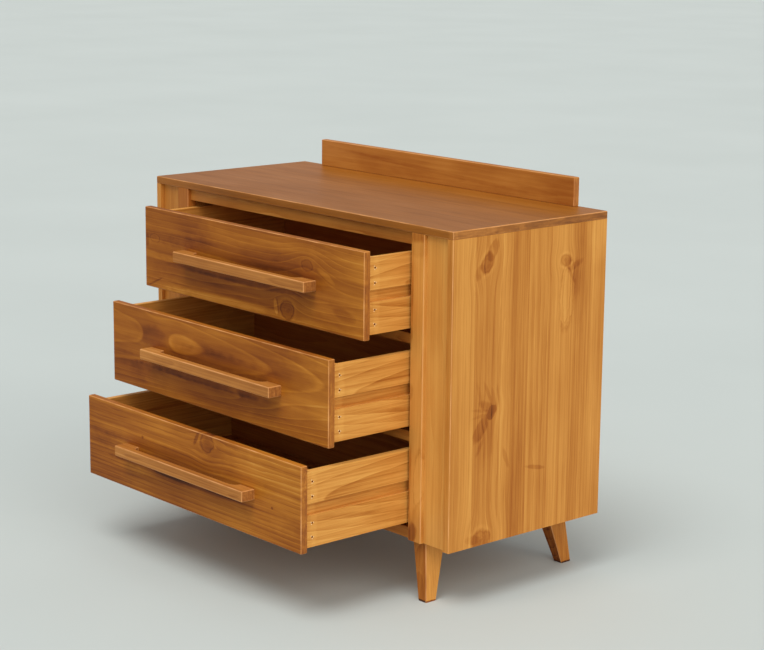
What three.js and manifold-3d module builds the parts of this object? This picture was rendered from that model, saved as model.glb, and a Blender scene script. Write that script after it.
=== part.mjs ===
// Pine chest of three drawers: splayed taper legs, low gallery board, scooped bar handles.
// Millimetres, +Z up, front towards -Y, floor at Z = 0, all three drawers standing open.
import * as THREE from 'three';
import { mergeVertices } from 'three/addons/utils/BufferGeometryUtils.js';
import Module from 'manifold-3d';

const wasm = await Module();
wasm.setup();

// Overall sizes of the case
const width = 1050;
const depth = 462;
const bodyHeight = 688;
const legHeight = 131;
const board = 17;
const arris = 1.5;
const overrun = 2;

// Face frame: proud stiles, with rails and corner strips set back from them
const cornerStripWidth = 71;
const stileWidth = 40;
const faceRecess = 9;
const topRailHeight = 27;
const dividerHeight = 22;
const bottomRailHeight = 24;

// Back of the case
const backThickness = 6;
const backSetIn = 0.5;
const backRebate = 8;
const backClearance = 0.3;
const rearRailHeight = 60;

// Gallery board that stands along the back of the top
const upstandHeight = 65;
const upstandInset = 87;

// Legs: rectangular sections, set in from the side and from the front or back
const legTop = { x: 42, y: 57, sideInset: 89, endInset: 18 };
const legFoot = { x: 24.5, y: 29, sideInset: 74, endInset: 7 };
const legArris = 2;

// Drawer fronts and boxes
const frontGapZ = 2;
const frontGapX = 4;
const sideThickness = 14;
const sideInset = 1;
const rearClearance = 38.5;
const overhangTop = 14;
const overhangBottom = 11;
const baseThickness = 5;
const baseLift = 10;
const baseGroove = 5;
const slipFit = 0.3;

// Batten runners that the grooved drawer sides hang on
const runnerHeight = 25;
const runnerRestGap = 0.3;
const runnerPlay = 0.7;
const grooveDepth = 8;
const runnerSideGap = 1;
const runnerEndGap = 1;

// How far each drawer stands open
const pulls = { bottom: 292, middle: 220, top: 126 };

// Bar handle with two feet and a cove inside each
const handleLength = 474;
const handleHeight = 24;
const handleDepth = 34.5;
const handleFoot = 47;
const handleGap = 17.5;
const handleArris = 1.8;
const coveSegments = 10;

// Handle screws and the hanger bolts of the legs
const fastenerFit = 0.3;
const fastenerSides = 12;
const screwRadius = 2;
const screwHeadRadius = 4.2;
const screwHeadHeight = 2.4;
const screwReach = 18;
const boltRadius = 4;
const boltInLeg = 40;
const boltInPanel = 13;

// Places worked out from the sizes above
const halfWidth = width / 2;
const sideInnerX = halfWidth - board;
const stileOuterX = sideInnerX - cornerStripWidth;
const openingX = stileOuterX - stileWidth;
const baseZ = legHeight;
const topUnderZ = baseZ + bodyHeight - board;
const topZ = topUnderZ + board;
const frameBackY = faceRecess + board;
const backY = depth - backSetIn - backThickness;
const levels = ['bottom', 'middle', 'top'];
const railHeights = topRailHeight + bottomRailHeight + (levels.length - 1) * dividerHeight;
const openingHeight = (bodyHeight - board - railHeights) / levels.length;
const openingPitch = openingHeight + dividerHeight;
const openingBottomZ = Object.fromEntries(levels.map((level, i) =>
  [level, baseZ + bottomRailHeight + i * openingPitch]));
const frontHeight = openingHeight - 2 * frontGapZ;
const frontMiddleZ = frontGapZ + frontHeight / 2;
const frontX = openingX - frontGapX;
const sideOuterX = frontX - sideInset;
const boxInnerX = sideOuterX - sideThickness;
const boxBottomZ = frontGapZ + overhangBottom;
const boxTopZ = frontGapZ + frontHeight - overhangTop;
const innerFrontY = 2 * board;
const boxBackY = backY - rearClearance;
const baseSlotZ = boxBottomZ + baseLift;
const baseSlotHeight = baseThickness + 2 * slipFit;
const grooveHeight = runnerHeight + runnerRestGap + runnerPlay;
const grooveBottomZ = (boxBottomZ + boxTopZ - grooveHeight) / 2;
const runnerBottomZ = grooveBottomZ + runnerPlay;
const runnerInnerX = sideOuterX - grooveDepth + runnerSideGap;
const runnerFrontY = board + runnerEndGap;
const handleFootX = (handleLength - handleFoot) / 2;

const sides = [['left', -1], ['right', 1]];
const upwards = [0, 0, 1];
const downwards = [0, 0, -1];
const outwards = [0, -1, 0];

const wood = {
  panel: { color: 0xc98a40, roughness: 0.45 },
  top: { color: 0xa5713f, roughness: 0.35 },
  frame: { color: 0xbd7a33, roughness: 0.45 },
  front: { color: 0x93581f, roughness: 0.45 },
  box: { color: 0xd39a50, roughness: 0.6 },
  plywood: { color: 0xb98a52, roughness: 0.7 },
  leg: { color: 0xc07e36, roughness: 0.45 },
};
const steel = { color: 0xb9b4a4, roughness: 0.35, metalness: 0.9 };

const namedMesh = (name, geometry, finish) => {
  const mesh = new THREE.Mesh(geometry, new THREE.MeshStandardMaterial({ metalness: 0, ...finish }));
  mesh.name = name;
  return mesh;
};

// Outlines and the solids run along them
const outline = (points) => new THREE.Shape(points.map(([x, y]) => new THREE.Vector2(x, y)));

const easedRectangle = (x0, x1, y0, y1, ease) => outline([
  [x0 + ease, y0], [x1 - ease, y0], [x1, y0 + ease], [x1, y1 - ease],
  [x1 - ease, y1], [x0 + ease, y1], [x0, y1 - ease], [x0, y0 + ease],
]);

// A plan pushed up from z0 to z1, with both rims chamfered where ease is given
const extrudeUp = (plan, z0, z1, ease = 0) => {
  const options = { depth: z1 - z0 - 2 * ease, bevelEnabled: ease > 0, curveSegments: coveSegments };
  const rim = { bevelThickness: ease, bevelSize: ease, bevelOffset: -ease, bevelSegments: 1 };
  return new THREE.ExtrudeGeometry(plan, { ...options, ...rim }).translate(0, 0, z0 + ease);
};

// A section drawn in X and Z, run along Y
const extrudeAlongY = (section, y0, y1) => {
  const acrossX = new THREE.Vector3(1, 0, 0);
  const acrossZ = new THREE.Vector3(0, 0, 1);
  const turn = new THREE.Matrix4().makeBasis(acrossX, acrossZ, new THREE.Vector3(0, -1, 0));
  const geometry = new THREE.ExtrudeGeometry(section, { depth: y1 - y0, bevelEnabled: false });
  return geometry.applyMatrix4(turn).translate(0, y1, 0);
};

const easedBoard = (x0, x1, y0, y1, z0, z1) =>
  extrudeUp(easedRectangle(x0, x1, y0, y1, arris), z0, z1, arris);

const plainBoard = (x0, x1, y0, y1, z0, z1) => {
  const box = new THREE.BoxGeometry(x1 - x0, y1 - y0, z1 - z0);
  return box.translate((x0 + x1) / 2, (y0 + y1) / 2, (z0 + z1) / 2);
};

// A turned piece from pairs of length along the axis and radius
const turned = (profile, start, direction) => {
  const points = profile.map(([along, radius]) => new THREE.Vector2(radius, along));
  const geometry = new THREE.LatheGeometry(points, fastenerSides);
  const axis = new THREE.Vector3(0, 1, 0);
  const turn = new THREE.Quaternion().setFromUnitVectors(axis, new THREE.Vector3(...direction));
  return geometry.applyQuaternion(turn).translate(...start);
};

const rod = (radius, length, start, direction) =>
  turned([[0, 0], [0, radius], [length, radius], [length, 0]], start, direction);

// The hole for a rod: wider and deeper by the fit, and run out past the face that it enters
const rodHole = (radius, length, start, direction) => turned([
  [-overrun, 0], [-overrun, radius + fastenerFit],
  [length + fastenerFit, radius + fastenerFit], [length + fastenerFit, 0],
], start, direction);

// Closed meshes to solids and back, for cutting holes and slots
const solidOf = (geometry) => {
  const bare = geometry.clone();
  bare.deleteAttribute('normal');
  bare.deleteAttribute('uv');
  const welded = mergeVertices(bare);
  const vertProperties = new Float32Array(welded.attributes.position.array);
  const triVerts = new Uint32Array(welded.index.array);
  return new wasm.Manifold(new wasm.Mesh({ numProp: 3, vertProperties, triVerts }));
};

const geometryOf = (solid) => {
  const mesh = solid.getMesh();
  const geometry = new THREE.BufferGeometry();
  geometry.setAttribute('position', new THREE.BufferAttribute(mesh.vertProperties, 3));
  geometry.setIndex(new THREE.BufferAttribute(mesh.triVerts, 1));
  return geometry;
};

const cut = (geometry, tools) =>
  geometryOf(tools.reduce((solid, tool) => solid.subtract(solidOf(tool)), solidOf(geometry)));

// Both edges, in rising order, of a piece that lies on one side of the middle
const spanX = (side, inner, outer) => (side < 0 ? [-outer, -inner] : [inner, outer]);

// Legs: a top and a foot section joined by straight faces, so that every face tapers and splays
const legSection = (section, side, end) => {
  const middleX = side * (halfWidth - section.sideInset - section.x / 2);
  const fromEnd = section.endInset + section.y / 2;
  return { ...section, middleX, middleY: end === 'front' ? fromEnd : depth - fromEnd };
};

const legCorners = ['front', 'rear'].flatMap((end) => sides.map(([name, side]) => {
  const head = legSection(legTop, side, end);
  return { name: `${end}_${name}`, head, foot: legSection(legFoot, side, end) };
}));

const boltStart = (head, z) => [head.middleX, head.middleY, z];

const leg = ({ head, foot }) => {
  const plan = easedRectangle(-head.x / 2, head.x / 2, -head.y / 2, head.y / 2, legArris);
  const geometry = extrudeUp(plan, 0, legHeight);
  const place = geometry.attributes.position;
  for (let i = 0; i < place.count; i += 1) {
    const share = place.getZ(i) / legHeight;
    const blend = (key) => foot[key] + (head[key] - foot[key]) * share;
    place.setX(i, blend('middleX') + place.getX(i) * blend('x') / head.x);
    place.setY(i, blend('middleY') + place.getY(i) * blend('y') / head.y);
  }
  return cut(geometry, [rodHole(boltRadius, boltInLeg, boltStart(head, legHeight), downwards)]);
};

const legBolt = ({ head }) =>
  rod(boltRadius, boltInLeg + boltInPanel, boltStart(head, legHeight - boltInLeg), upwards);

const bottomPanel = () => cut(
  plainBoard(-sideInnerX, sideInnerX, frameBackY, backY, baseZ, baseZ + board),
  legCorners.map(({ head }) => rodHole(boltRadius, boltInPanel, boltStart(head, baseZ), upwards)));

// Case boards
const sidePanel = (side) => extrudeUp(outline([
  [sideInnerX, 0], [halfWidth - arris, 0], [halfWidth, arris], [halfWidth, depth - arris],
  [halfWidth - arris, depth], [sideInnerX + backRebate, depth],
  [sideInnerX + backRebate, backY], [sideInnerX, backY],
].map(([x, y]) => [side * x, y])), baseZ, topUnderZ);

const stile = (side) => {
  const plan = easedRectangle(...spanX(side, openingX, stileOuterX), 0, frameBackY, arris);
  return extrudeUp(plan, baseZ, topUnderZ);
};

const cornerStrip = (side) =>
  plainBoard(...spanX(side, stileOuterX, sideInnerX), faceRecess, frameBackY, baseZ, topUnderZ);

const faceRail = (topEdgeZ, height) =>
  plainBoard(-openingX, openingX, faceRecess, frameBackY, topEdgeZ - height, topEdgeZ);

const partition = (side) =>
  plainBoard(...spanX(side, openingX, openingX + board), frameBackY, backY, baseZ + board, topUnderZ);

const runner = (level, side) => {
  const z0 = openingBottomZ[level] + runnerBottomZ;
  return plainBoard(...spanX(side, runnerInnerX, openingX), runnerFrontY, backY, z0, z0 + runnerHeight);
};

const backPanel = () => {
  const halfPanel = sideInnerX + backRebate - backClearance;
  return plainBoard(-halfPanel, halfPanel, backY, backY + backThickness, baseZ, topUnderZ);
};

const rearRail = () =>
  plainBoard(-openingX, openingX, backY - board, backY, topUnderZ - rearRailHeight, topUnderZ);

const upstand = () => {
  const halfLength = halfWidth - upstandInset;
  return easedBoard(-halfLength, halfLength, depth - board, depth, topZ, topZ + upstandHeight);
};

const buildCase = () => {
  const group = new THREE.Group();
  const add = (name, geometry, finish) => group.add(namedMesh(name, geometry, finish));
  add('top_panel', easedBoard(-halfWidth, halfWidth, 0, depth, topUnderZ, topZ), wood.top);
  add('back_upstand', upstand(), wood.frame);
  add('back_panel', backPanel(), wood.plywood);
  add('bottom_panel', bottomPanel(), wood.panel);
  add('rear_rail', rearRail(), wood.frame);
  add('top_rail', faceRail(topUnderZ, topRailHeight), wood.frame);
  add('divider_rail_upper', faceRail(openingBottomZ.top, dividerHeight), wood.frame);
  add('divider_rail_lower', faceRail(openingBottomZ.middle, dividerHeight), wood.frame);
  add('bottom_rail', faceRail(openingBottomZ.bottom, bottomRailHeight), wood.frame);
  sides.forEach(([name, side]) => {
    add(`side_panel_${name}`, sidePanel(side), wood.panel);
    add(`inner_partition_${name}`, partition(side), wood.panel);
    add(`front_stile_${name}`, stile(side), wood.frame);
    add(`corner_strip_${name}`, cornerStrip(side), wood.frame);
    levels.forEach((level) => add(`runner_${level}_${name}`, runner(level, side), wood.box));
  });
  legCorners.forEach((corner) => {
    add(`leg_${corner.name}`, leg(corner), wood.leg);
    add(`leg_bolt_${corner.name}`, legBolt(corner), steel);
  });
  return group;
};

// Drawer pieces, each about the middle of its opening and with the drawer pushed home
const screwLength = 2 * board + screwReach;
const screwPlaces = sides.map(([name, side]) =>
  ({ name, start: [side * handleFootX, innerFrontY, frontMiddleZ] }));
const screwHoles = () =>
  screwPlaces.map(({ start }) => rodHole(screwRadius, screwLength, start, outwards));

const panHeadScrew = (start) => turned([
  [-screwHeadHeight, 0], [-screwHeadHeight, screwHeadRadius / 2], [-screwHeadHeight / 2, screwHeadRadius],
  [0, screwHeadRadius], [0, screwRadius], [screwLength, screwRadius], [screwLength, 0],
], start, outwards);

// The handle's plan: straight bar, square ends and a quarter-round cove inside each foot
const handlePlan = () => {
  const end = handleLength / 2;
  const coveX = end - handleFoot - handleGap;
  const plan = new THREE.Shape();
  plan.moveTo(-end, 0);
  plan.lineTo(-end, -handleDepth + handleArris);
  plan.lineTo(-end + handleArris, -handleDepth);
  plan.lineTo(end - handleArris, -handleDepth);
  plan.lineTo(end, -handleDepth + handleArris);
  plan.lineTo(end, 0);
  plan.lineTo(coveX + handleGap, 0);
  plan.absarc(coveX, 0, handleGap, 0, -Math.PI / 2, true);
  plan.absarc(-coveX, 0, handleGap, -Math.PI / 2, -Math.PI, true);
  return plan;
};

const handle = () => {
  const z0 = frontMiddleZ - handleHeight / 2;
  return cut(extrudeUp(handlePlan(), z0, z0 + handleHeight, handleArris), screwHoles());
};

// A side with the runner's groove outside and the slot for the base inside
const drawerSide = (side) => extrudeAlongY(outline([
  [boxInnerX, boxBottomZ], [sideOuterX, boxBottomZ], [sideOuterX, grooveBottomZ],
  [sideOuterX - grooveDepth, grooveBottomZ], [sideOuterX - grooveDepth, grooveBottomZ + grooveHeight],
  [sideOuterX, grooveBottomZ + grooveHeight], [sideOuterX, boxTopZ], [boxInnerX, boxTopZ],
  [boxInnerX, baseSlotZ + baseSlotHeight], [boxInnerX + baseGroove, baseSlotZ + baseSlotHeight],
  [boxInnerX + baseGroove, baseSlotZ], [boxInnerX, baseSlotZ],
].map(([x, z]) => [side * x, z])), board, boxBackY);

// A cross board of the box, with its half of the slot run right through
const crossBoard = (y0, y1, slotY0, slotY1) => {
  const reach = boxInnerX + overrun;
  const slot = plainBoard(-reach, reach, slotY0, slotY1, baseSlotZ, baseSlotZ + baseSlotHeight);
  return cut(plainBoard(-boxInnerX, boxInnerX, y0, y1, boxBottomZ, boxTopZ), [slot, ...screwHoles()]);
};

const drawerBase = () => {
  const tongue = baseGroove - slipFit;
  const halfBase = boxInnerX + tongue;
  const z0 = baseSlotZ + slipFit;
  const y0 = innerFrontY - tongue;
  const y1 = boxBackY - sideThickness + tongue;
  return plainBoard(-halfBase, halfBase, y0, y1, z0, z0 + baseThickness);
};

const buildDrawer = (level) => {
  const group = new THREE.Group();
  const add = (name, geometry, finish) =>
    group.add(namedMesh(`drawer_${level}_${name}`, geometry, finish));
  const face = easedBoard(-frontX, frontX, 0, board, frontGapZ, frontGapZ + frontHeight);
  const backFaceY = boxBackY - sideThickness;
  add('front', cut(face, screwHoles()), wood.front);
  const frontSlot = [innerFrontY - baseGroove, innerFrontY + overrun];
  const backSlot = [backFaceY - overrun, backFaceY + baseGroove];
  add('inner_front', crossBoard(board, innerFrontY, ...frontSlot), wood.box);
  add('back', crossBoard(backFaceY, boxBackY, ...backSlot), wood.box);
  sides.forEach(([name, side]) => add(`side_${name}`, drawerSide(side), wood.box));
  add('base', drawerBase(), wood.plywood);
  add('handle', handle(), wood.frame);
  screwPlaces.forEach(({ name, start }) => add(`screw_${name}`, panHeadScrew(start), steel));
  group.position.set(0, -pulls[level], openingBottomZ[level]);
  return group;
};

// The origin lies on the floor under the middle of the chest, open drawers and handles included
const chest = new THREE.Group();
chest.add(buildCase());
levels.forEach((level) => chest.add(buildDrawer(level)));
chest.position.y = (pulls.bottom + handleDepth - depth) / 2;

export default chest;
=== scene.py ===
# A pine chest of three drawers, stained honey brown and lacquered, with all its drawers standing open.
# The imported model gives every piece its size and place. This script gives the camera, light and finish.
import math

import bmesh
import bpy
from mathutils import Matrix, Vector


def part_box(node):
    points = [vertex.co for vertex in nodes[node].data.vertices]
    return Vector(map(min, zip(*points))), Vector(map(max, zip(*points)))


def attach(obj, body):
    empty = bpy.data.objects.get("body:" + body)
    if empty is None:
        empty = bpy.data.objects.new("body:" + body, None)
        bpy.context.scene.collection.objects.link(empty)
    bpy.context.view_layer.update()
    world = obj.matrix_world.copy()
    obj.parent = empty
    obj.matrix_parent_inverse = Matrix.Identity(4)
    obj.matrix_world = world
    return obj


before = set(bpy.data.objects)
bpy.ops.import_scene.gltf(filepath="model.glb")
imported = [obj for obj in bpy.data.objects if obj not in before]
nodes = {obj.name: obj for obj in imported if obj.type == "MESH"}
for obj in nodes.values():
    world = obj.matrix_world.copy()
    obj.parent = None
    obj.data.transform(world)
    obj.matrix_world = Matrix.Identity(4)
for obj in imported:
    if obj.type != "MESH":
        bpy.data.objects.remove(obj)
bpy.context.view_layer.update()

# Camera: it stands to the right of the open drawers and a little above them, on a long lens.
# Its place and turn come from matching the chest's corners to the picture.
PICTURE_WIDTH = 764
FOCAL_LENGTH_IN_PIXELS = 2036
SENSOR_WIDTH = 36.0
EYE = Vector((3.511, -2.882, 1.497))
TURN, DIP, TILT = (math.radians(degrees) for degrees in (48.71, 12.02, 0.57))

forward = Vector((-math.sin(TURN) * math.cos(DIP), math.cos(TURN) * math.cos(DIP), -math.sin(DIP)))
level_right = Vector((math.cos(TURN), math.sin(TURN), 0))
level_up = level_right.cross(forward)
right = level_right * math.cos(TILT) + level_up * math.sin(TILT)
up = level_up * math.cos(TILT) - level_right * math.sin(TILT)

lens = bpy.data.cameras.new("camera")
lens.sensor_fit = "HORIZONTAL"
lens.sensor_width = SENSOR_WIDTH
lens.lens = FOCAL_LENGTH_IN_PIXELS * SENSOR_WIDTH / PICTURE_WIDTH
camera = bpy.data.objects.new("camera", lens)
bpy.context.scene.collection.objects.link(camera)
camera.matrix_world = Matrix.Translation(EYE) @ Matrix((right, up, -forward)).transposed().to_4x4()
bpy.context.scene.camera = camera
bpy.context.scene.view_settings.view_transform = "Standard"

# Light: a pale hall all round, soft daylight from overhead, and a broad window on the chest's right.
# The sun lamps are wide, so every shadow is soft, and they light the whole floor alike.
HALL_COLOUR = "#F2F4F5"
HALL_STRENGTH = 0.5
LAMPS = {
    "overhead": dict(towards=(0.15, -0.45, 1.0), strength=1.7, width=36, colour="#FFFDFA"),
    "window": dict(towards=(1.0, -0.25, 0.45), strength=1.5, width=60, colour="#FFFAF2"),
}


def srgb(hex_colour):
    """The linear colour with full alpha of an sRGB hex value."""
    shares = [int(hex_colour[i:i + 2], 16) / 255 for i in (1, 3, 5)]
    return [s / 12.92 if s <= 0.04045 else ((s + 0.055) / 1.055) ** 2.4 for s in shares] + [1.0]


def add(tree, kind, *values, named=None, stops=None, **settings):
    """Adds a shader node. Its inputs are given in order or by name, as numbers, nodes or sockets.

    Settings are made first, and stops are those of a colour ramp.
    """
    made = tree.nodes.new("ShaderNode" + kind)
    for name, value in settings.items():
        setattr(made, name, value)
    for socket, value in [*enumerate(values), *(named or {}).items()]:
        if isinstance(value, bpy.types.Node):
            value = value.outputs[0]
        if isinstance(value, bpy.types.NodeSocket):
            tree.links.new(value, made.inputs[socket])
        else:
            made.inputs[socket].default_value = value
    if stops:
        ramp = made.color_ramp
        while len(ramp.elements) < len(stops):
            ramp.elements.new(1.0)
        for element, (place, colour) in zip(ramp.elements, stops):
            element.position = place
            element.color = colour
    return made


world = bpy.data.worlds.new("hall")
bpy.context.scene.world = world
world.use_nodes = True
hall = world.node_tree.nodes["Background"]
hall.inputs["Color"].default_value = srgb(HALL_COLOUR)
hall.inputs["Strength"].default_value = HALL_STRENGTH
for name, lamp in LAMPS.items():
    light = bpy.data.lights.new(name, "SUN")
    light.energy = lamp["strength"]
    light.angle = math.radians(lamp["width"])
    light.color = srgb(lamp["colour"])[:3]
    light_object = bpy.data.objects.new(name, light)
    bpy.context.scene.collection.objects.link(light_object)
    light_object.rotation_euler = Vector(lamp["towards"]).to_track_quat("Z", "Y").to_euler()

# Floor: pale trowelled concrete, so wide that its far edge lies above the picture. It is plain and matt,
# with only the faint cloudiness of cement, in patches of about a metre.
FLOOR_HALF_WIDTH = 60.0
FLOOR_TINTS = [(0.3, "#C1C9C7"), (0.7, "#C5CDCB")]
FLOOR_CLOUDS_PER_METRE = 0.9
FLOOR_ROUGHNESS = 0.75


def tints(palette):
    """The stops of a colour ramp, from its places and hex values."""
    return [(place, srgb(shade)) for place, shade in palette]


def new_material(name):
    """An empty material and its shader tree, with the principled shader joined to the output."""
    material = bpy.data.materials.new(name)
    material.use_nodes = True
    tree = material.node_tree
    tree.nodes.clear()
    shader = add(tree, "BsdfPrincipled")
    add(tree, "OutputMaterial", shader)
    return material, tree, shader


def new_piece(name, mesh, material):
    """An object at the origin made from a finished bmesh."""
    data = bpy.data.meshes.new(name)
    mesh.to_mesh(data)
    mesh.free()
    data.materials.append(material)
    piece = bpy.data.objects.new(name, data)
    bpy.context.scene.collection.objects.link(piece)
    return piece


concrete, tree, shader = new_material("trowelled_concrete")
place = add(tree, "TexCoord").outputs["Object"]
cloud = add(tree, "TexNoise", place, named={"Scale": FLOOR_CLOUDS_PER_METRE, "Detail": 4.0})
tint = add(tree, "ValToRGB", cloud, stops=tints(FLOOR_TINTS))
tree.links.new(tint.outputs["Color"], shader.inputs["Base Color"])
shader.inputs["Roughness"].default_value = FLOOR_ROUGHNESS
plan = bmesh.new()
bmesh.ops.create_grid(plan, x_segments=1, y_segments=1, size=FLOOR_HALF_WIDTH)
new_piece("floor", plan, concrete)

# Side panels: six pine staves glued edge to edge, each from another tree, sanded flush and stained honey.
# Three knots stand in the second stave and one in the fifth, and the eased edges are pale, partly from
# wear and partly as a painted highlight. The panels carry the top board, which is dowelled onto them.
MM = 1000.0
HONEY = [(0.0, "#E0A352"), (0.25, "#D08F42"), (0.5, "#BA7730"), (0.72, "#A05B1E"), (0.88, "#7E4012"),
         (1.0, "#48240C")]
# Colour of the pale chamfered edges: wear, and a painted highlight
EDGE_WEAR_AND_HIGHLIGHT_COLOUR = "#DCA068"
END_GRAIN = "#A66E44"

# One year's growth, outwards from the middle of the log, as shares of its darkest line: broad pale early
# wood that deepens to a fine dark line of late wood.
DARK_RINGS = [(0.0, 0.0), (0.05, 0.12), (0.12, 0.3), (0.5, 0.42), (0.82, 0.7), (0.96, 1.0), (1.0, 0.0)]
RING_MEAN_SHARE = 0.45

# How dark a mark is from its centre outwards, as shares of its own darkness. A place is the square of the
# distance in half sizes, over MARK_REACH. A knot has a dark core and rim and a pale halo, an eye is a
# lighter knot with a fine rim, and a loop is one dark line round paler wood.
MARK_REACH = 3.0
MARK_SHARES = {
    "knot": [(0.0, 1.0), (0.012, 0.75), (0.035, 0.55), (0.08, 0.85), (0.13, 0.6), (0.2, 0.75), (0.27, 1.0),
             (0.34, 0.6), (0.43, 0.1), (0.54, -0.3), (0.68, -0.2), (0.9, 0.0)],
    "eye": [(0.0, 0.6), (0.01, 0.4), (0.05, 0.25), (0.09, 0.5), (0.13, 0.2), (0.24, 0.35), (0.29, 1.0),
            (0.34, 0.9), (0.4, 0.1), (0.54, -0.4), (0.7, -0.2), (0.95, 0.0)],
    "loop": [(0.0, -0.1), (0.18, -0.3), (0.26, -0.15), (0.32, 1.0), (0.36, 0.6), (0.46, 0.0)],
}

# The staves' edges in mm from the front, and how much darker than the board each is at even steps across
# it. Tones change within the joint line, which is that many mm on either side of a glued joint.
JOINT_LINE = 0.3
SIDE_STAVES = (
    (0, 65, (0.16, 0.1, 0.0)), (65, 143, (0.23, 0.26, 0.18)), (143, 225, (0.11, 0.12, 0.29, 0.25, 0.23)),
    (225, 292, (0.13, 0.19, 0.22)), (292, 398, (0.04, 0.05, 0.14, 0.23, 0.2)), (398, 462, (0.16, 0.17)),
)

# Knots, stains and pale spots. For each, at is its centre in mm across from the front and down from the
# top, size its half sizes along and across the grain, turn its slant in degrees, part how far the grain
# gives way, dark how much darker than the board it is, and soft how broad its edge is.
SIDE_MARKS = (
    dict(at=(99, 58), size=(22, 16), turn=30, part=0.75, dark=0.3, kind="knot"),
    dict(at=(115, 33), size=(24, 13), turn=27, dark=0.19, soft=0.6),
    dict(at=(77, 76), size=(18, 12), turn=34, dark=0.15, soft=1.3),
    dict(at=(119, 382), size=(17, 12), turn=40, part=0.7, dark=0.24, soft=0.5),
    dict(at=(117, 384), size=(7, 5), turn=30, dark=0.12, soft=1.2),
    dict(at=(108, 369), size=(27, 10), turn=-62, dark=0.16, soft=1.3),
    dict(at=(95, 375), size=(36, 3.5), turn=-80, dark=0.1, soft=1.5),
    dict(at=(88, 385), size=(26, 3.5), turn=-97, dark=0.09, soft=1.5),
    dict(at=(110, 341), size=(30, 4.5), turn=-26, dark=0.13, soft=1.6),
    dict(at=(125, 352), size=(24, 4.5), turn=-14, dark=0.12, soft=1.6),
    dict(at=(136, 350), size=(24, 5), turn=0, dark=0.1, soft=1.6),
    dict(at=(84, 340), size=(30, 5), turn=-18, dark=0.08, soft=1.6),
    dict(at=(89, 413), size=(35, 14), turn=37, dark=0.18, soft=0.8),
    dict(at=(86, 455), size=(20, 5), turn=28, dark=0.1, soft=1.4),
    dict(at=(102, 446), size=(54, 24), turn=14, dark=0.07, soft=1.8),
    dict(at=(95, 662), size=(24, 25), turn=0, part=0.6, dark=0.27, kind="knot"),
    dict(at=(72, 656), size=(10, 22), turn=10, dark=0.14, soft=1.3),
    dict(at=(334, 78), size=(13, 16), turn=0, part=0.6, dark=0.28, kind="knot"),
    dict(at=(364, 92), size=(7, 26), turn=-24, dark=0.12, soft=1.6),
    dict(at=(350, 108), size=(24, 4), turn=-30, dark=0.15, soft=1.5),
    dict(at=(368, 122), size=(40, 13), turn=0, dark=0.1, soft=1.8),
    dict(at=(341, 155), size=(78, 22), turn=3, dark=0.16, kind="loop"),
    dict(at=(339, 150), size=(64, 11), turn=3, dark=0.16, kind="loop"),
    dict(at=(382, 140), size=(110, 17), turn=0, dark=0.06, soft=1.8),
    dict(at=(164, 488), size=(24, 6), turn=-22, dark=0.14, soft=1.2),
    dict(at=(255, 526), size=(5, 28), turn=12, dark=0.18, soft=1.0),
    dict(at=(434, 30), size=(60, 28), turn=0, dark=-0.13, soft=1.6),
)
# The left panel has only the knot halfway down the second stave, with its stains
LEFT_PANEL_MARKS = slice(3, 15)


def grey_stops(shares, lift=0.0):
    """The stops of a grey ramp, from its places and shares, all lifted alike."""
    return [(place, (share + lift, share + lift, share + lift, 1)) for place, share in shares]


PARTING_FALL = 0.22


def mark_fields(tree, flat, across, size, marks):
    """Each mark's squared distance from its centre, and the way across the board, bent round the knots.

    The distance is measured in half sizes of the mark, and the bend falls off with its square.
    """
    spreads = []
    parted = across
    for mark in marks:
        centre = (mark["at"][0] - size[0] / 2, mark["at"][1] - size[1] / 2, 0)
        spot = add(tree, "Mapping", vector_type="TEXTURE", named={
            "Vector": flat, "Location": centre, "Rotation": (0, 0, math.radians(mark["turn"])),
            "Scale": (*mark["size"], MM)})
        spread = add(tree, "VectorMath", spot, spot, operation="DOT_PRODUCT").outputs["Value"]
        spreads.append(spread)
        if mark.get("part"):
            near = add(tree, "Math", spread, -PARTING_FALL, operation="MULTIPLY")
            near = add(tree, "Math", near, operation="EXPONENT")
            near = add(tree, "Math", near, -mark["part"], operation="MULTIPLY")
            aside = add(tree, "Math", across, centre[1], operation="SUBTRACT")
            parted = add(tree, "Math", near, aside, parted, operation="MULTIPLY_ADD")
    return spreads, parted


# Each stave takes the next step round a wheel from 0 to 1, which moves it elsewhere in the noise and moves
# its pith by up to this many mm, so that no two neighbours match.
STAVE_STEP = 0.37
STAVE_NOISE_SHIFT = 9.0
STAVE_LOG_SHIFT = 170.0
PATCH_SHIFT = 3.3


def stave_fields(tree, across, width, staves, base, seed, reach):
    """Each glued strip's tone, its own part of the noise, and its own place in the log."""
    place = add(tree, "Math", across, 1 / width, 0.5, operation="MULTIPLY_ADD")
    stops = []
    for count, (edge, other_edge, tones) in enumerate(staves):
        strip_width = other_edge - edge - 2 * JOINT_LINE
        for step, share in enumerate(tones):
            spot = edge + JOINT_LINE + strip_width * step / (len(tones) - 1)
            stops.append((spot / width, (share, (count * STAVE_STEP) % 1, 0.0, 1.0)))
    channels = add(tree, "SeparateColor", add(tree, "ValToRGB", place, stops=stops))
    strip = channels.outputs["Green"]
    tone = add(tree, "Math", channels.outputs["Red"], base, operation="ADD")
    shift = add(tree, "Math", strip, STAVE_NOISE_SHIFT, seed, operation="MULTIPLY_ADD")
    patch_shift = add(tree, "Math", shift, PATCH_SHIFT, operation="ADD")
    reach = add(tree, "Math", strip, STAVE_LOG_SHIFT, reach, operation="MULTIPLY_ADD")
    return tone, shift, patch_shift, reach


CONTRAST_PART, RAGGED_PART, EDGE_WEAR_AND_HIGHLIGHT_PART = 7.5, 4.0, 1.7


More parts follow.
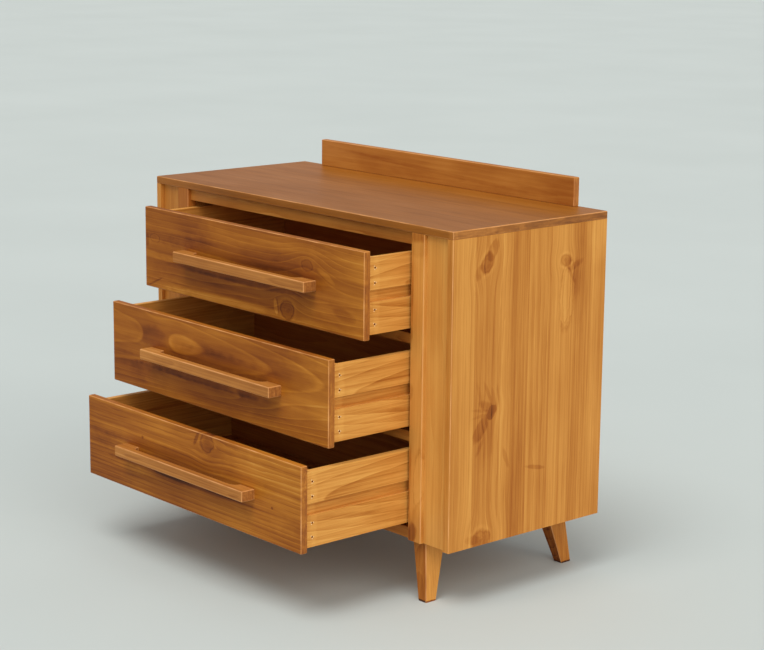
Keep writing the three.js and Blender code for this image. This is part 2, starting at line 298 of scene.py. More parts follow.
def uneven_fields(tree, grain, flat, streak_width, shift, patch_shift):
    """Everything uneven about a board, as noise that swings half a unit to either side of zero.

    Each kind has its size in mm along, across and through the grain, how fine it goes, and the part of the
    noise that it is read from. Real fibres and pores are under 0.1 mm wide, too fine to show, so they are
    drawn 1.6 and 5 mm wide.
    """
    kinds = {
        "lean": (grain, (380, 80, 80), 2.0, shift),
        "waver": (grain, (120, 18, 18), 3.0, shift),
        "contrast": (grain, (260, 40, 40), 2.0, CONTRAST_PART),
        "fibre": (grain, (60, 1.6, 1.6), 4.0, shift),
        "patch": (grain, (200, 70, 70), 3.0, patch_shift),
        "wisp": (grain, (640, streak_width, streak_width), 3.0, shift),
        "pores": (flat, (60, 34, 5), 3.0, shift),
        "ragged": (flat, (20, 12, 12), 3.0, RAGGED_PART),
        "edge_wear_and_highlight_noise": (flat, (45, 45, 45), 2.0, EDGE_WEAR_AND_HIGHLIGHT_PART),
    }
    uneven = {}
    for kind, (vector, lengths, detail, part) in kinds.items():
        scaled = add(tree, "Mapping", named={"Vector": vector, "Scale": [1 / length for length in lengths]})
        noise = add(tree, "TexNoise", noise_dimensions="4D", named={
            "Vector": scaled, "W": part, "Scale": 1.0, "Detail": detail})
        uneven[kind] = add(tree, "Math", noise, 0.5, operation="SUBTRACT")
    return uneven


RAGGED_SWING = 1.6
RAMP_LIFT = 0.5


def mark_stain_and_shade(tree, mark, spread, ragged):
    """How much a mark darkens the board at each point. Its outline is a little ragged.

    A ramp holds nothing below zero, so the shares of a knot or loop are lifted on their way through it.
    """
    core = add(tree, "Math", ragged, RAGGED_SWING, spread, operation="MULTIPLY_ADD")
    if mark.get("kind"):
        core = add(tree, "Math", core, MARK_REACH, operation="DIVIDE")
        core = add(tree, "ValToRGB", core, stops=grey_stops(MARK_SHARES[mark["kind"]], RAMP_LIFT))
        core = add(tree, "Math", core, RAMP_LIFT, operation="SUBTRACT")
        return add(tree, "Math", core, mark["dark"], operation="MULTIPLY")
    edge = mark["soft"] / 2
    return add(tree, "MapRange", core, 1 - edge, 1 + edge, mark["dark"], 0.0,
               interpolation_type="SMOOTHSTEP")


# How the fields become wood. SWING makes up for noise that reaches only half a unit, a swelling falls off
# with the square of its distance, and a face counts as square on above SQUARE_ON. GROOVE_LEAST is in mm
# below the face, and RELIEF_HEIGHT in metres.
SWING = 2
SWELL_FALL = 2
CONTRAST_SWING = 2.2
RING_FADE = 0.8
SQUARE_ON = 0.9
FACING_LEAST = 0.5
GROOVE_LEAST = 1
END_TINT_SHARE = 0.25
# How strongly the chamfered edges are paled, by wear and a painted highlight
EDGE_WEAR_AND_HIGHLIGHT_SWING = 1.6
EDGE_WEAR_AND_HIGHLIGHT_SHARE = 0.5
PATCH_SHEEN = 0.12
FIBRE_SHEEN = 0.16
RING_SINK = 0.35
RELIEF_STRENGTH = 0.12
RELIEF_HEIGHT = 0.0006


def pine(name, node, axes, base, palette=HONEY, marks=(), seed=0.0, ring=8.0, pith=70.0, pith_shift=0.0,
         taper=0.0, drift=16.0, waver=0.4, bands=0.4, profile=DARK_RINGS, streaks=0.3, streak_width=9.0,
         fibre=0.12, blotch=0.2, end=0.04, recess=0.0, faces=(), staves=None, stain_and_shade_cap=0.4, rough=0.46,
         gloss=0.15):
    """Lacquered pine, worked out from the growth rings of the log that the board was sawn from.

    To the eye it is a warm satin brown with fine long lines, darker knots and pale edges, partly rubbed and
    partly a painted highlight.

    Axes names the directions along the grain, across the board and through it. Base is how dark the board
    is, from 0 to 1, and end how much darker its end grain. Ring is the width of a year's growth in mm, and
    pith and pith_shift are how far the middle of the log lies from the board's middle, through and across
    it. Taper opens the rings into flames, and drift and waver bend them. Bands, streaks, fibre and blotch
    are how strongly rings, long streaks, fibres and patches show. Marks, mostly stains but some painted
    shadows, have their centre in mm along and across from the board's low corner. Together they darken the
    board by no more than the stain-and-shade cap, and one with a swell pushes the rings that many mm out,
    over reach half sizes. Recess darkens the floor of a sawn groove. Staves give each glued strip's edges
    and tones. Faces are sides of the piece, each as an axis and a sign, with how much darker it is, as
    stain and painted shade, or below zero how much lighter, as a painted highlight, and how far the rings
    fade there.
    """
    material, tree, shader = new_material(name)
    low, high = (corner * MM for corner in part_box(node))
    size = [(high - low)["XYZ".index(axis)] for axis in axes]
    coords = add(tree, "TexCoord")
    board = add(tree, "Mapping", named={
        "Vector": coords.outputs["Object"], "Location": -(low + high) / 2, "Scale": (MM, MM, MM)})
    split = add(tree, "SeparateXYZ", board)
    along, across, through = (split.outputs[axis] for axis in axes)
    flat = add(tree, "CombineXYZ", along, across, through)
    spreads, parted = mark_fields(tree, flat, across, size, marks)
    grain = add(tree, "CombineXYZ", along, parted, through)

    # A plain board lies in one log, and boards glued edge to edge come from different logs
    tone, shift, patch_shift = base, seed, seed + PATCH_SHIFT
    reach = add(tree, "Math", parted, pith_shift, operation="SUBTRACT")
    if staves:
        tone, shift, patch_shift, reach = stave_fields(tree, across, size[1], staves, base, seed, reach)
    uneven = uneven_fields(tree, grain, flat, streak_width, shift, patch_shift)

    # Growth rings: the distance from the pith, bent by the way the trunk leans and swells
    depth = add(tree, "Math", through, pith, operation="ADD")
    depth = add(tree, "Math", depth, depth, operation="MULTIPLY")
    radius = add(tree, "Math", reach, reach, depth, operation="MULTIPLY_ADD")
    radius = add(tree, "Math", radius, operation="SQRT")
    radius = add(tree, "Math", along, taper, radius, operation="MULTIPLY_ADD")
    radius = add(tree, "Math", uneven["lean"], drift * SWING, radius, operation="MULTIPLY_ADD")
    radius = add(tree, "Math", uneven["waver"], drift * waver, radius, operation="MULTIPLY_ADD")
    # The marks add up their darkness: stains, and the painted shadows under the handles, at the stile's
    # head and at the feet
    stain_and_shade = 0.0
    for mark, spread in zip(marks, spreads):
        if mark.get("swell"):
            near = add(tree, "Math", spread, -SWELL_FALL / mark["reach"] ** 2, operation="MULTIPLY")
            near = add(tree, "Math", near, operation="EXPONENT")
            radius = add(tree, "Math", near, mark["swell"], radius, operation="MULTIPLY_ADD")
        if mark.get("dark"):
            spot = mark_stain_and_shade(tree, mark, spread, uneven["ragged"])
            stain_and_shade = add(tree, "Math", stain_and_shade, spot, operation="ADD")
    stain_and_shade = add(tree, "Math", stain_and_shade, stain_and_shade_cap, operation="MINIMUM")
    darkness = add(tree, "Math", stain_and_shade, tone, operation="ADD")
    phase = add(tree, "Math", add(tree, "Math", radius, ring, operation="DIVIDE"), operation="FRACT")
    rings = add(tree, "ValToRGB", phase, stops=grey_stops(profile))

    # The rings fade on end grain, on the rough floor of a sawn groove, and on faces given a tone of their
    # own:
    # stain and painted shade inside the drawers, painted shade on the legs' fronts, and a painted highlight
    # on the faces of the drawer sides that look up
    facing = add(tree, "SeparateXYZ", coords.outputs["Normal"])
    turned = [add(tree, "Math", facing.outputs[axis], operation="ABSOLUTE") for axis in axes]
    end_grain = add(tree, "Math", turned[0], SQUARE_ON, operation="GREATER_THAN")
    muted = end_grain
    if recess:
        inset = add(tree, "Math", through, operation="ABSOLUTE")
        sunk = add(tree, "Math", inset, size[2] / 2 - GROOVE_LEAST, operation="LESS_THAN")
        sunk = add(tree, "Math", sunk, turned[2], operation="MULTIPLY")
        muted = add(tree, "Math", sunk, end_grain, operation="ADD")
        darkness = add(tree, "Math", sunk, recess, darkness, operation="MULTIPLY_ADD")
    for axis, sign, share, fade in faces:
        looks = add(tree, "Math", facing.outputs[axis], sign, operation="MULTIPLY")
        looks = add(tree, "Math", looks, FACING_LEAST, operation="GREATER_THAN")
        muted = add(tree, "Math", looks, fade, muted, operation="MULTIPLY_ADD")
        darkness = add(tree, "Math", looks, share, darkness, operation="MULTIPLY_ADD")
    strength = add(tree, "Math", uneven["contrast"], bands * CONTRAST_SWING, bands,
                   operation="MULTIPLY_ADD", use_clamp=True)
    left = add(tree, "Math", muted, -RING_FADE, 1.0, operation="MULTIPLY_ADD")
    strength = add(tree, "Math", strength, left, operation="MULTIPLY")
    lines = add(tree, "Math", rings, RING_MEAN_SHARE, operation="SUBTRACT")
    darkness = add(tree, "Math", lines, strength, darkness, operation="MULTIPLY_ADD")

    # Streaks, fibres and the uneven way in which the stain was taken up, also by the end grain
    for kind, amount in (("wisp", streaks), ("fibre", fibre), ("patch", blotch)):
        darkness = add(tree, "Math", uneven[kind], amount * SWING, darkness, operation="MULTIPLY_ADD")
    pores = add(tree, "Math", uneven["pores"], 1.0, end, operation="MULTIPLY_ADD")
    darkness = add(tree, "Math", end_grain, pores, darkness, operation="MULTIPLY_ADD")
    colour = add(tree, "ValToRGB", darkness, stops=tints(palette))
    greyed = add(tree, "Math", end_grain, END_TINT_SHARE, operation="MULTIPLY")
    colour = add(tree, "Mix", data_type="RGBA", named={"Factor": greyed, "A": colour, "B": srgb(END_GRAIN)})

    # Chamfered edges, whose faces look two ways, are pale: partly rubbed, and partly a painted highlight
    # where a rounded edge would catch the light
    flattest = add(tree, "Math", turned[0], turned[1], operation="MAXIMUM")
    flattest = add(tree, "Math", flattest, turned[2], operation="MAXIMUM")
    edge = add(tree, "Math", flattest, SQUARE_ON, operation="LESS_THAN")
    edge_wear_and_highlight = add(tree, "Math", uneven["edge_wear_and_highlight_noise"], EDGE_WEAR_AND_HIGHLIGHT_SWING, EDGE_WEAR_AND_HIGHLIGHT_SHARE, operation="MULTIPLY_ADD")
    edge_wear_and_highlight = add(tree, "Math", edge, edge_wear_and_highlight, operation="MULTIPLY", use_clamp=True)
    colour = add(tree, "Mix", data_type="RGBA", named={
        "Factor": edge_wear_and_highlight, "A": colour.outputs["Result"], "B": srgb(EDGE_WEAR_AND_HIGHLIGHT_COLOUR)})
    tree.links.new(colour.outputs["Result"], shader.inputs["Base Color"])

    # Satin lacquer that follows the fibres a little
    sheen = add(tree, "Math", uneven["patch"], PATCH_SHEEN, rough, operation="MULTIPLY_ADD")
    sheen = add(tree, "Math", uneven["fibre"], FIBRE_SHEEN, sheen, operation="MULTIPLY_ADD")
    tree.links.new(sheen.outputs["Value"], shader.inputs["Roughness"])
    relief = add(tree, "Math", rings, -RING_SINK, uneven["fibre"], operation="MULTIPLY_ADD")
    bump = add(tree, "Bump", named={
        "Height": relief, "Strength": RELIEF_STRENGTH, "Distance": RELIEF_HEIGHT})
    tree.links.new(bump.outputs["Normal"], shader.inputs["Normal"])
    shader.inputs["Specular IOR Level"].default_value = gloss
    return material


def dress(node, material):
    """Gives a CAD node its finish."""
    slots = nodes[node].data.materials
    slots.clear()
    slots.append(material)


SIDES = ("left", "right")
SIDE_SEEDS = (0.0, 5.0)
for side, seed in zip(SIDES, SIDE_SEEDS):
    node = f"side_panel_{side}"
    height = (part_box(node)[1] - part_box(node)[0]).z * MM
    marks = SIDE_MARKS if side == "right" else SIDE_MARKS[LEFT_PANEL_MARKS]
    marks = [{**mark, "at": (height - mark["at"][1], mark["at"][0])} for mark in marks]
    dress(node, pine(f"pine_{node}", node, "ZYX", base=0.22, marks=marks, staves=SIDE_STAVES, stain_and_shade_cap=0.32,
                     seed=seed, ring=7.0, drift=12.0, waver=0.5, bands=0.17, streaks=0.34, fibre=0.13,
                     blotch=0.2))

# Top board: five long pine boards glued edge to edge, with eased edges and a satin lacquer. Its front
# right corner and its right end are worn pale. The gallery board on its back edge is one pine board. Their
# marks are in mm from the left end, and from the front edge or the foot of the gallery board.
TOP_BROWN = [(0.0, "#D69A4C"), (0.3, "#BA7832"), (0.6, "#9A5D1C"), (0.85, "#75410F"), (1.0, "#4C280C")]
TOP_STAVES = (
    (0, 92, (0.04, 0.06)), (92, 190, (0.08, 0.06)), (190, 278, (0.03, 0.05)), (278, 371, (0.06, 0.04)),
    (371, 462, (0.02, 0.0)),
)
TOP_MARKS = (
    dict(at=(1044, 5), size=(11, 7), turn=10, dark=-0.2, soft=1.2),
    dict(at=(1050, 66), size=(4, 56), turn=0, dark=-0.26, soft=0.8),
    dict(at=(1050, 168), size=(3, 40), turn=0, dark=-0.2, soft=0.9),
    dict(at=(1050, 300), size=(3, 26), turn=0, dark=-0.14, soft=0.9),
)
dress("top_panel", pine("pine_top_panel", "top_panel", "XYZ", base=0.58, palette=TOP_BROWN, marks=TOP_MARKS,
                        staves=TOP_STAVES, seed=2.0, bands=0.07, streaks=0.15, fibre=0.08, blotch=0.14,
                        end=0.1, rough=0.42, gloss=0.19))
GALLERY_MARKS = (
    dict(at=(420, 30), size=(330, 5), turn=-3, dark=0.1, soft=1.6),
    dict(at=(760, 22), size=(180, 7), turn=3, dark=0.06, soft=1.6),
    dict(at=(880, 48), size=(160, 10), turn=2, dark=0.08, soft=1.8),
)
dress("back_upstand", pine("pine_back_upstand", "back_upstand", "XZY", base=0.54, marks=GALLERY_MARKS,
                           seed=3.0, ring=16.0, pith=22.0, pith_shift=-12, drift=12.0, taper=0.05,
                           bands=0.06, streaks=0.17, fibre=0.09, blotch=0.32, end=-0.12))

# Face frame: two proud stiles, and between and beside them rails and corner strips set back from their
# faces, dowelled and glued. All are straight pine, and the foot and the head of the right stile are
# stained where knots begin. Its head is also darker from a painted shadow of the top board above it. Its
# marks are in mm from its foot and its left edge.
STILE_MARKS = (
    dict(at=(17, 12), size=(24, 14), turn=12, dark=0.36, soft=1.4),
    dict(at=(26, 20), size=(46, 28), turn=8, dark=0.16, soft=1.5),
    dict(at=(128, 2), size=(78, 5), turn=3, dark=0.24, soft=1.4),
    dict(at=(140, 30), size=(62, 14), turn=3, dark=0.16, kind="loop"),
    dict(at=(328, 4), size=(17, 7), turn=10, dark=0.16, soft=1.2),
    dict(at=(395, 38), size=(34, 4), turn=4, dark=0.14, soft=1.4),
    dict(at=(455, 2), size=(18, 5), turn=0, dark=0.2, soft=1.4),
    dict(at=(545, 2), size=(62, 6), turn=0, dark=0.2, soft=1.5),
    # The dark head of the stile: stain, with a painted shadow of the overhanging top board
    dict(at=(670, 10), size=(18, 40), turn=0, dark=0.32, soft=1.3),
    dict(at=(648, 14), size=(26, 44), turn=4, dark=0.13, soft=0.8),
)
UPRIGHTS = {
    "front_stile_right": dict(base=0.25, seed=4.1, marks=STILE_MARKS, pith_shift=-18, pith=30.0, bands=0.16,
                              blotch=0.42, stain_and_shade_cap=0.5),
    "front_stile_left": dict(base=0.66, seed=5.3, bands=0.1, streaks=0.16),
    "corner_strip_right": dict(base=0.16, seed=6.2, bands=0.16),
    "corner_strip_left": dict(base=0.52, seed=7.4, bands=0.1, streaks=0.16),
}
for node, figure in UPRIGHTS.items():
    dress(node, pine(f"pine_{node}", node, "ZXY", drift=12.0, **figure))
RAIL_TONES = {"top_rail": 0.46, "divider_rail_upper": 0.54, "divider_rail_lower": 0.54, "bottom_rail": 0.54}
for seed, (node, tone) in enumerate(RAIL_TONES.items()):
    dress(node, pine(f"pine_{node}", node, "XZY", base=tone, seed=8.0 + seed, drift=12.0, bands=0.2,
                     blotch=0.3))

# Drawer fronts: one wide flat-sawn pine board each, stained browner than the case and screwed on from
# inside. The rings run in long flames and tongues with pale outlines, round knots stand in the top and
# bottom boards, and a thin band under each handle is darkened as a painted shadow of the handle.
CHESTNUT = [(0.0, "#D29340"), (0.25, "#B97426"), (0.5, "#9C5A1B"), (0.72, "#814417"), (0.88, "#643112"),
            (1.0, "#401F0A")]

# Rings that took the stain the other way: pale lines, each with a darker band beside it. The marks of the
# fronts are in mm from the left end and from the lower edge.
PALE_RINGS = [(0.0, 0.3), (0.04, 0.74), (0.15, 0.62), (0.5, 0.48), (0.82, 0.42), (0.91, 0.04), (0.97, 0.0),
              (1.0, 0.3)]
TOP_FRONT_MARKS = (
    dict(at=(532, 26), size=(22, 20), turn=0, part=0.7, dark=0.26, kind="eye"),
    dict(at=(532, 26), size=(40, 40), turn=0, swell=12, reach=1.8),
    dict(at=(492, 28), size=(6, 17), turn=12, dark=-0.24, soft=1.0),
    dict(at=(500, 28), size=(3, 18), turn=12, dark=0.14, soft=1.2),
    dict(at=(600, 133), size=(18, 12), turn=0, part=0.5, dark=0.15, kind="eye"),
    dict(at=(598, 140), size=(60, 40), turn=0, swell=-26, reach=1.8),
    dict(at=(662, 119), size=(28, 7), turn=-24, dark=-0.2, soft=1.2),
    dict(at=(40, 117), size=(19, 10), turn=0, dark=0.16, kind="loop"),
    dict(at=(8, 112), size=(8, 14), turn=0, dark=0.2, soft=1.2),
    dict(at=(385, 124), size=(280, 22), turn=0, dark=0.13, soft=1.8),
    dict(at=(90, 155), size=(150, 46), turn=0, dark=0.15, soft=1.8),
    dict(at=(60, 34), size=(130, 40), turn=0, dark=-0.13, soft=1.8),
    dict(at=(36, 14), size=(34, 2.5), turn=24, dark=0.24, soft=1.4),
    dict(at=(110, 24), size=(60, 2.5), turn=-2, dark=0.14, soft=1.4),
    dict(at=(722, 44), size=(34, 12), turn=-8, dark=0.18, soft=1.2),
    # Painted shadow of the handle, in a thin band just under it
    dict(at=(370, 66), size=(240, 8), turn=0, dark=0.24, soft=1.5),
    dict(at=(290, 10), size=(200, 9), turn=1, dark=-0.2, soft=1.6),
    dict(at=(330, 46), size=(240, 26), turn=0, dark=0.12, soft=1.8),
    dict(at=(760, 110), size=(150, 120), turn=0, dark=-0.15, soft=1.8),
)
MIDDLE_FRONT_MARKS = (
    dict(at=(170, 131), size=(46, 40), turn=0, swell=17, reach=1.85),
    dict(at=(30, 131), size=(80, 50), turn=0, swell=13, reach=2.0),
    dict(at=(800, 131), size=(60, 40), turn=0, swell=5, reach=2.5),
    dict(at=(350, 42), size=(320, 22), turn=0, swell=-29, reach=1.4),
    dict(at=(163, 128), size=(46, 26), turn=0, dark=0.22, soft=1.8),
    dict(at=(48, 131), size=(64, 17), turn=0, dark=-0.06, soft=1.2),
    dict(at=(278, 132), size=(66, 20), turn=0, dark=-0.12, soft=1.2),
    dict(at=(350, 42), size=(250, 26), turn=0, dark=0.13, soft=1.8),
    dict(at=(50, 30), size=(90, 44), turn=0, dark=0.12, soft=1.8),
    dict(at=(420, 116), size=(180, 20), turn=0, dark=0.24, soft=1.8),
    # Painted shadow of the handle, in a thin band just under it
    dict(at=(366, 62), size=(240, 8), turn=0, dark=0.26, soft=1.5),
    dict(at=(670, 124), size=(60, 20), turn=0, dark=0.14, soft=1.6),
    dict(at=(750, 80), size=(140, 120), turn=0, dark=-0.16, soft=1.8),
)
BOTTOM_FRONT_MARKS = (
    dict(at=(462, 170), size=(23, 20), turn=0, part=0.6, dark=0.22, kind="eye"),
    dict(at=(464, 168), size=(18, 13), turn=0, dark=0.08, soft=1.0),
    dict(at=(462, 170), size=(40, 30), turn=0, swell=10, reach=1.8),
    dict(at=(424, 174), size=(20, 5), turn=58, dark=0.26, soft=1.2),
    dict(at=(218, 132), size=(4, 3), turn=0, dark=0.3, soft=0.8),
    dict(at=(690, 78), size=(4, 3), turn=0, dark=0.3, soft=0.8),
    dict(at=(185, 54), size=(80, 13), turn=4, dark=-0.12, soft=1.0),
    dict(at=(420, 114), size=(260, 16), turn=0, dark=0.12, soft=1.8),
    # Painted shadow of the handle, in a thin band just under it
    dict(at=(360, 63), size=(240, 8), turn=0, dark=0.22, soft=1.5),
    dict(at=(50, 40), size=(110, 66), turn=0, dark=0.18, soft=1.8),
    dict(at=(60, 150), size=(110, 36), turn=0, dark=0.05, soft=1.8),
    dict(at=(700, 130), size=(180, 90), turn=0, dark=-0.16, soft=1.8),
)
FRONT_FIGURES = {
    "top": dict(marks=TOP_FRONT_MARKS, pith=42.0, pith_shift=-16.0, ring=14.0, drift=8.0, waver=0.7,
                bands=0.24, taper=0.02, streaks=0.3, streak_width=16.0, seed=11.0),
    "middle": dict(marks=MIDDLE_FRONT_MARKS, pith=58.9, pith_shift=37.0, ring=16.0, drift=2.0, bands=0.28,
                   taper=0.065, streaks=0.3, streak_width=16.0, seed=12.0),
    "bottom": dict(marks=BOTTOM_FRONT_MARKS, pith=60.0, pith_shift=130.0, ring=10.0, drift=12.0, waver=1.0,
                   bands=0.22, streaks=0.52, streak_width=9.0, seed=13.0),
}
LEVELS = ("bottom", "middle", "top")
for level in LEVELS:
    node = f"drawer_{level}_front"
    profile = DARK_RINGS if level == "bottom" else PALE_RINGS
    dress(node, pine(f"pine_{node}", node, "XZY", base=0.48, palette=CHESTNUT, profile=profile,
                     fibre=0.12, blotch=0.38, end=0.1, gloss=0.09, **FRONT_FIGURES[level]))

# Handles: straight pine bars, square at the ends and scooped behind, each held by two screws from inside.
# They are a shade lighter and pinker than the fronts, with pale edges, partly rubbed by hands and partly a
# painted highlight.
HANDLE_PALETTE = [(0.0, "#D39A58"), (0.3, "#BA7A38"), (0.6, "#995C24"), (0.85, "#703D17"), (1.0, "#48240C")]
HANDLE_TONES = {"bottom": 0.37, "middle": 0.37, "top": 0.43}
for seed, (level, tone) in enumerate(HANDLE_TONES.items()):
    node = f"drawer_{level}_handle"
    dress(node, pine(f"pine_{node}", node, "XZY", base=tone, palette=HANDLE_PALETTE, seed=20.0 + seed,
                     ring=4.0, drift=6.0, bands=0.18, streaks=0.4, streak_width=5.0, blotch=0.34, end=0.05))

# Drawer boxes: paler pine sides, grooved outside for the runners and pinned to the inner fronts and backs.
# Inside they are as dark as old tea, partly from stain and partly as painted shade, and so are the thin
# plywood bases, which lie in slots. Faces of the sides that look up, such as their rims, are lighter as a
# painted highlight. The marks of the sides are in mm from the front end and from the lower edge.
# How much darker the sides are inside, as stain and painted shade, and how much lighter their faces that
# look up are, as a painted highlight
BOX_INSIDE_STAIN_AND_SHADE = 0.12
BOX_UPWARD_HIGHLIGHT = -0.22
INSIDE_FADE = 0.9
DARK_TEA = [(0.0, "#C27E38"), (0.4, "#9A5824"), (0.8, "#6A3814"), (1.0, "#42220C")]
BOX_PITHS = {"bottom": 40.9, "middle": 41.1, "top": 44.3}
BOX_MARKS = (
    dict(at=(300, 95), size=(130, 90), turn=0, swell=9, reach=1.6),
    dict(at=(17, 81), size=(9, 92), turn=0, dark=-0.1, soft=1.6),
    dict(at=(170, 114), size=(130, 9), turn=2, dark=0.12, soft=1.8),
    dict(at=(215, 34), size=(60, 22), turn=-8, dark=0.14, soft=1.8),
    dict(at=(120, 50), size=(70, 5), turn=-7, dark=0.1, soft=1.6),
)
CROSS_BOARDS = ("inner_front", "back")
for step, level in enumerate(LEVELS):
    for seed, (side, inward) in enumerate(zip(SIDES, (1, -1))):
        node = f"drawer_{level}_side_{side}"
        dress(node, pine(f"pine_{node}", node, "YZX", base=0.26, marks=BOX_MARKS,
                         seed=30.0 + len(SIDES) * step + seed, ring=16.0, pith=BOX_PITHS[level],
                         pith_shift=12.0, taper=-0.1, drift=3.0, waver=1.8, bands=0.32, streaks=0.44,
                         streak_width=5.0, fibre=0.24, blotch=0.24, recess=0.14, rough=0.5,
                         faces=(("X", inward, BOX_INSIDE_STAIN_AND_SHADE, INSIDE_FADE), ("Z", 1, BOX_UPWARD_HIGHLIGHT, 0.0))))
    for seed, part in enumerate(CROSS_BOARDS):
        node = f"drawer_{level}_{part}"
        dress(node, pine(f"pine_{node}", node, "XZY", base=0.24, palette=DARK_TEA,
                         seed=40.0 + len(CROSS_BOARDS) * step + seed, bands=0.14, rough=0.6))
    node = f"drawer_{level}_base"
    dress(node, pine(f"plywood_{node}", node, "YXZ", base=0.22, palette=DARK_TEA, seed=50.0 + step,
                     ring=22.0, bands=0.05, streaks=0.16, rough=0.6))

# Runners: plain pine battens screwed to the partitions. Partitions, bottom and rear rail are plain pine
# boards and the back panel is thin plywood. All are unseen from in front, so they are rough and darker.
for level in LEVELS:
    for seed, side in enumerate(SIDES):
        node = f"runner_{level}_{side}"
        dress(node, pine(f"pine_{node}", node, "YZX", base=0.46, seed=60.0 + seed, ring=5.0, rough=0.55))
for seed, side in enumerate(SIDES):
    node = f"inner_partition_{side}"
    dress(node, pine(f"pine_{node}", node, "ZYX", base=0.56, seed=70.0 + seed, bands=0.2, rough=0.6))
dress("bottom_panel", pine("pine_bottom_panel", "bottom_panel", "XYZ", base=0.56, seed=72.0, bands=0.2,
                           rough=0.6))
dress("rear_rail", pine("pine_rear_rail", "rear_rail", "XZY", base=0.56, seed=73.0, bands=0.2, rough=0.6))
dress("back_panel", pine("plywood_back_panel", "back_panel", "ZXY", base=0.42, seed=74.0, ring=26.0,
                         pith=60.0, drift=40.0, bands=0.2, rough=0.6))

# Legs: four tapered pine legs, splayed out towards the corners, with eased edges and a painted contact
# shadow darkening each foot. Each hangs on a zinc-plated bolt that runs up into the bottom panel. Their
# front faces are darker as painted shade.
LEG_TONES = {"front_left": 0.42, "front_right": 0.24, "rear_left": 0.5, "rear_right": 0.54}
# How much darker the front faces of the front and rear legs are: painted shade from the drawers and case
LEG_FRONT_PAINTED_SHADE = {"front": ("Y", -1, 0.38, 0.0), "rear": ("Y", -1, 0.26, 0.0)}
# A dark band at the bottom of each foot: painted contact shadow
FOOT_CONTACT_SHADOW = (dict(at=(0, 25), size=(4, 60), turn=0, dark=0.6, soft=1.0),)
for seed, (corner, tone) in enumerate(LEG_TONES.items()):
    node = f"leg_{corner}"
    shade = LEG_FRONT_PAINTED_SHADE[corner.split("_")[0]]
    dress(node, pine(f"pine_{node}", node, "ZXY", base=tone, marks=FOOT_CONTACT_SHADOW, seed=80.0 + seed,
                     ring=6.0, drift=9.0, bands=0.2, stain_and_shade_cap=0.6, faces=(shade,)))

# Screws and bolts: cold-formed steel, zinc-plated, dull and slightly yellow. Only the pan heads of the
# handle screws can be seen, inside the drawers. The plating's spangle is finer than a millimetre, so its
# cloudy spots are drawn 2.5 mm wide.
ZINC_TINTS = [(0.35, "#B8B4A6"), (0.65, "#8F8A7C")]
ZINC_ROUGHNESS = 0.38
TARNISH_SPOTS_PER_METRE = 400.0
zinc, tree, shader = new_material("zinc_plated_steel")
place = add(tree, "TexCoord").outputs["Object"]
tarnish = add(tree, "TexNoise", place, named={"Scale": TARNISH_SPOTS_PER_METRE, "Detail": 3.0})
shade = add(tree, "ValToRGB", tarnish, stops=tints(ZINC_TINTS))
tree.links.new(shade.outputs["Color"], shader.inputs["Base Color"])
shader.inputs["Metallic"].default_value = 1.0
shader.inputs["Roughness"].default_value = ZINC_ROUGHNESS
for corner in LEG_TONES:
    dress(f"leg_bolt_{corner}", zinc)
for level in LEVELS:
    for side in SIDES:
        dress(f"drawer_{level}_screw_{side}", zinc)

# Pins and screws: the drawer corners are pinned through the sides, and each pin stands in a dark stained
# dimple with pale chips of matt wood filler round it. The runners are screwed on, and the back panel is
# nailed round its edge.
HOLE_COLOUR = "#6E3812"
PUTTY_COLOUR = "#E9C495"
CHIP_RADIUS = 0.0013
CHIPS_PER_PIN = 3
CHIP_DISTANCE = 0.0034
CHIP_TURN = 2.4
CHIP_STEPS_PER_PIN = 1.7
DIMPLE_RADIUS = 0.0022
HEAD_RISE = 0.0003
HEAD_SIDES = 12
HEAD_TOP_SHARE = 0.6
PIN_HEIGHTS = (0.0214, 0.052, 0.1085, 0.141)
PIN_SETBACK = 0.0135
SCREW_RADIUS = 0.0035
SCREW_PLACES = (0.08, 0.5, 0.92)
NAIL_RADIUS = 0.0021
NAIL_SPACING = 0.11
NAIL_INSET = 0.004

dimple, _, shader = new_material("stained_nail_hole")
shader.inputs["Base Color"].default_value = srgb(HOLE_COLOUR)
shader.inputs["Roughness"].default_value = 0.9
shader.inputs["Specular IOR Level"].default_value = 0.1
putty, _, shader = new_material("pale_wood_putty")
shader.inputs["Base Color"].default_value = srgb(PUTTY_COLOUR)
shader.inputs["Roughness"].default_value = 0.6


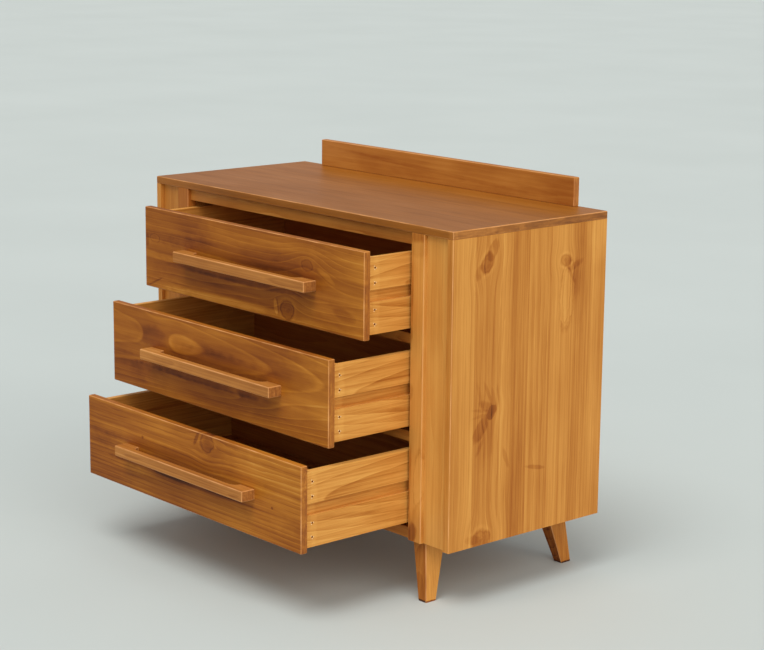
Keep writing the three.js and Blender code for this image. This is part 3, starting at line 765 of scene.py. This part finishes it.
def heads(name, body, places, outward, radius, material):
    """Low heads, all alike, that stand on a flat face, as one piece that rides with the body."""
    mesh = bmesh.new()
    turn = outward.to_track_quat("Z", "Y").to_matrix().to_4x4()
    for place in places:
        put = Matrix.Translation(place + outward * HEAD_RISE / 2) @ turn
        bmesh.ops.create_cone(mesh, cap_ends=True, segments=HEAD_SIDES, radius1=radius,
                              radius2=radius * HEAD_TOP_SHARE, depth=HEAD_RISE, matrix=put)
    piece = new_piece(name, mesh, material)
    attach(piece, body)


for level in LEVELS:
    inner_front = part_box(f"drawer_{level}_inner_front")
    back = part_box(f"drawer_{level}_back")
    for side, sign in zip(SIDES, (-1, 1)):
        low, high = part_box(f"drawer_{level}_side_{side}")
        outward = Vector((sign, 0, 0))
        face = high.x if sign > 0 else low.x
        rows = (inner_front[0].y + PIN_SETBACK, (back[0].y + back[1].y) / 2)
        holes = [Vector((face, y, low.z + height)) for y in rows for height in PIN_HEIGHTS]
        chips = []
        for count, hole in enumerate(holes):
            for chip in range(CHIPS_PER_PIN):
                angle = CHIP_TURN * (chip + CHIP_STEPS_PER_PIN * count)
                chips.append(hole + Vector((0, math.cos(angle), math.sin(angle))) * CHIP_DISTANCE)
        heads(f"drawer_{level}_dimples_{side}", f"drawer_{level}", holes, outward, DIMPLE_RADIUS, dimple)
        heads(f"drawer_{level}_putty_{side}", f"drawer_{level}", chips, outward, CHIP_RADIUS, putty)
        low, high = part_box(f"runner_{level}_{side}")
        face = low.x if sign > 0 else high.x
        middle = (low.z + high.z) / 2
        places = [Vector((face, low.y + (high.y - low.y) * share, middle)) for share in SCREW_PLACES]
        heads(f"runner_screws_{level}_{side}", "case", places, -outward, SCREW_RADIUS, zinc)

# The rows along the lower and upper edges hold the corner nails, which the rows up the sides skip
low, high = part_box("back_panel")
nails = []
rows = ((low.x, high.x, (low.z, high.z), 0), (low.z, high.z, (low.x, high.x), 1))
for start, end, edges, skip in rows:
    count = round((end - start) / NAIL_SPACING)
    for edge, inward in zip(edges, (1, -1)):
        line = edge + inward * NAIL_INSET
        for step in range(skip, count + 1 - skip):
            along = start + NAIL_INSET + (end - start - 2 * NAIL_INSET) * step / count
            place = (line, high.y, along) if skip else (along, high.y, line)
            nails.append(Vector(place))
heads("back_panel_nails", "case", nails, Vector((0, 1, 0)), NAIL_RADIUS, zinc)
